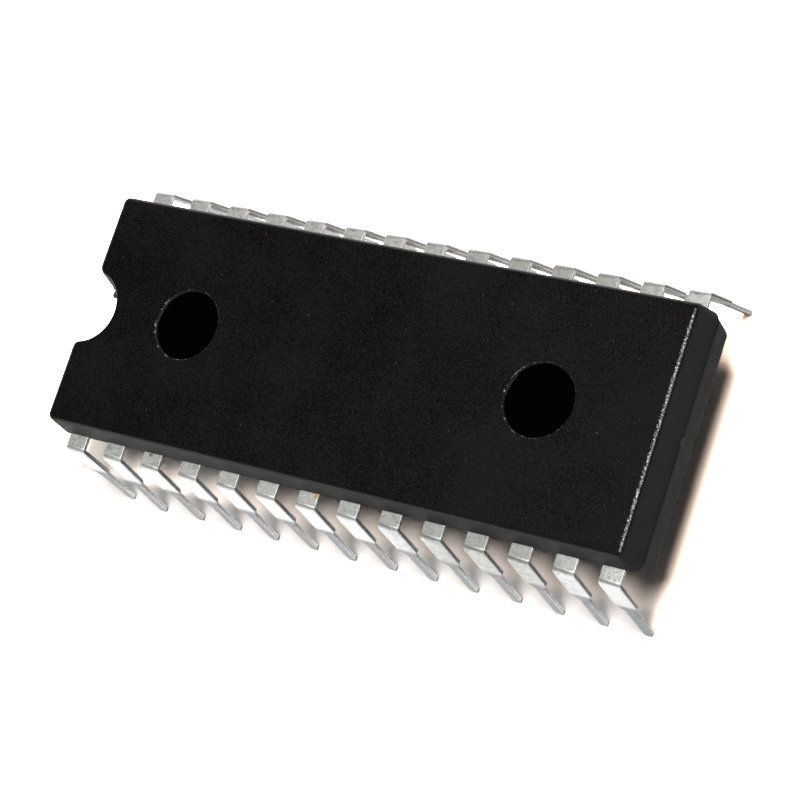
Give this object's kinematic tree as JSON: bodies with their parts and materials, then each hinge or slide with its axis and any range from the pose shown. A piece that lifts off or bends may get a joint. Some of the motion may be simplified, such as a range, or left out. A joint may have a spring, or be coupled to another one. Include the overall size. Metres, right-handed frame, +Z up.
{
  "type": "dip integrated circuit chip",
  "caption": "Dual in-line integrated circuit package: black moulded body with an end notch, and rows of bent tinned leads down both long sides for through-hole mounting.",
  "frame": {"origin": "middle of the plane that the leg tips stand on, under the middle of the body", "axes": "+X along the body away from its notched end, -Y towards the row of leads 1 to 14, +Z up through the top face"},
  "size_m": [0.036, 0.0176, 0.0082],
  "materials": {
    "moulding_compound": "matte sparkling grain on the top face, smoother on the drafted sides",
    "tinned_lead": "dull tin plating",
    "frame_alloy": "bare nickel iron strip",
    "bonding_paste": "silver-filled paste, cured",
    "silicon": "polished silicon",
    "gold_wire": "drawn gold wire"
  },
  "bodies": {
    "root": {"moulded_body": "moulding_compound", "lead_01": "tinned_lead", "lead_02": "tinned_lead", "lead_03": "tinned_lead", "lead_04": "tinned_lead", "lead_05": "tinned_lead", "lead_06": "tinned_lead", "lead_07": "tinned_lead", "lead_08": "tinned_lead", "lead_09": "tinned_lead", "lead_10": "tinned_lead", "lead_11": "tinned_lead", "lead_12": "tinned_lead", "lead_13": "tinned_lead", "lead_14": "tinned_lead", "lead_15": "tinned_lead", "lead_16": "tinned_lead", "lead_17": "tinned_lead", "lead_18": "tinned_lead", "lead_19": "tinned_lead", "lead_20": "tinned_lead", "lead_21": "tinned_lead", "lead_22": "tinned_lead", "lead_23": "tinned_lead", "lead_24": "tinned_lead", "lead_25": "tinned_lead", "lead_26": "tinned_lead", "lead_27": "tinned_lead", "lead_28": "tinned_lead", "die_paddle": "frame_alloy", "die_attach": "bonding_paste", "silicon_die": "silicon", "bond_wire_01": "gold_wire", "bond_wire_02": "gold_wire", "bond_wire_03": "gold_wire", "bond_wire_04": "gold_wire", "bond_wire_05": "gold_wire", "bond_wire_06": "gold_wire", "bond_wire_07": "gold_wire", "bond_wire_08": "gold_wire", "bond_wire_09": "gold_wire", "bond_wire_10": "gold_wire", "bond_wire_11": "gold_wire", "bond_wire_12": "gold_wire", "bond_wire_13": "gold_wire", "bond_wire_14": "gold_wire", "bond_wire_15": "gold_wire", "bond_wire_16": "gold_wire", "bond_wire_17": "gold_wire", "bond_wire_18": "gold_wire", "bond_wire_19": "gold_wire", "bond_wire_20": "gold_wire", "bond_wire_21": "gold_wire", "bond_wire_22": "gold_wire", "bond_wire_23": "gold_wire", "bond_wire_24": "gold_wire", "bond_wire_25": "gold_wire", "bond_wire_26": "gold_wire", "bond_wire_27": "gold_wire", "bond_wire_28": "gold_wire"}
  },
  "joints": []
}
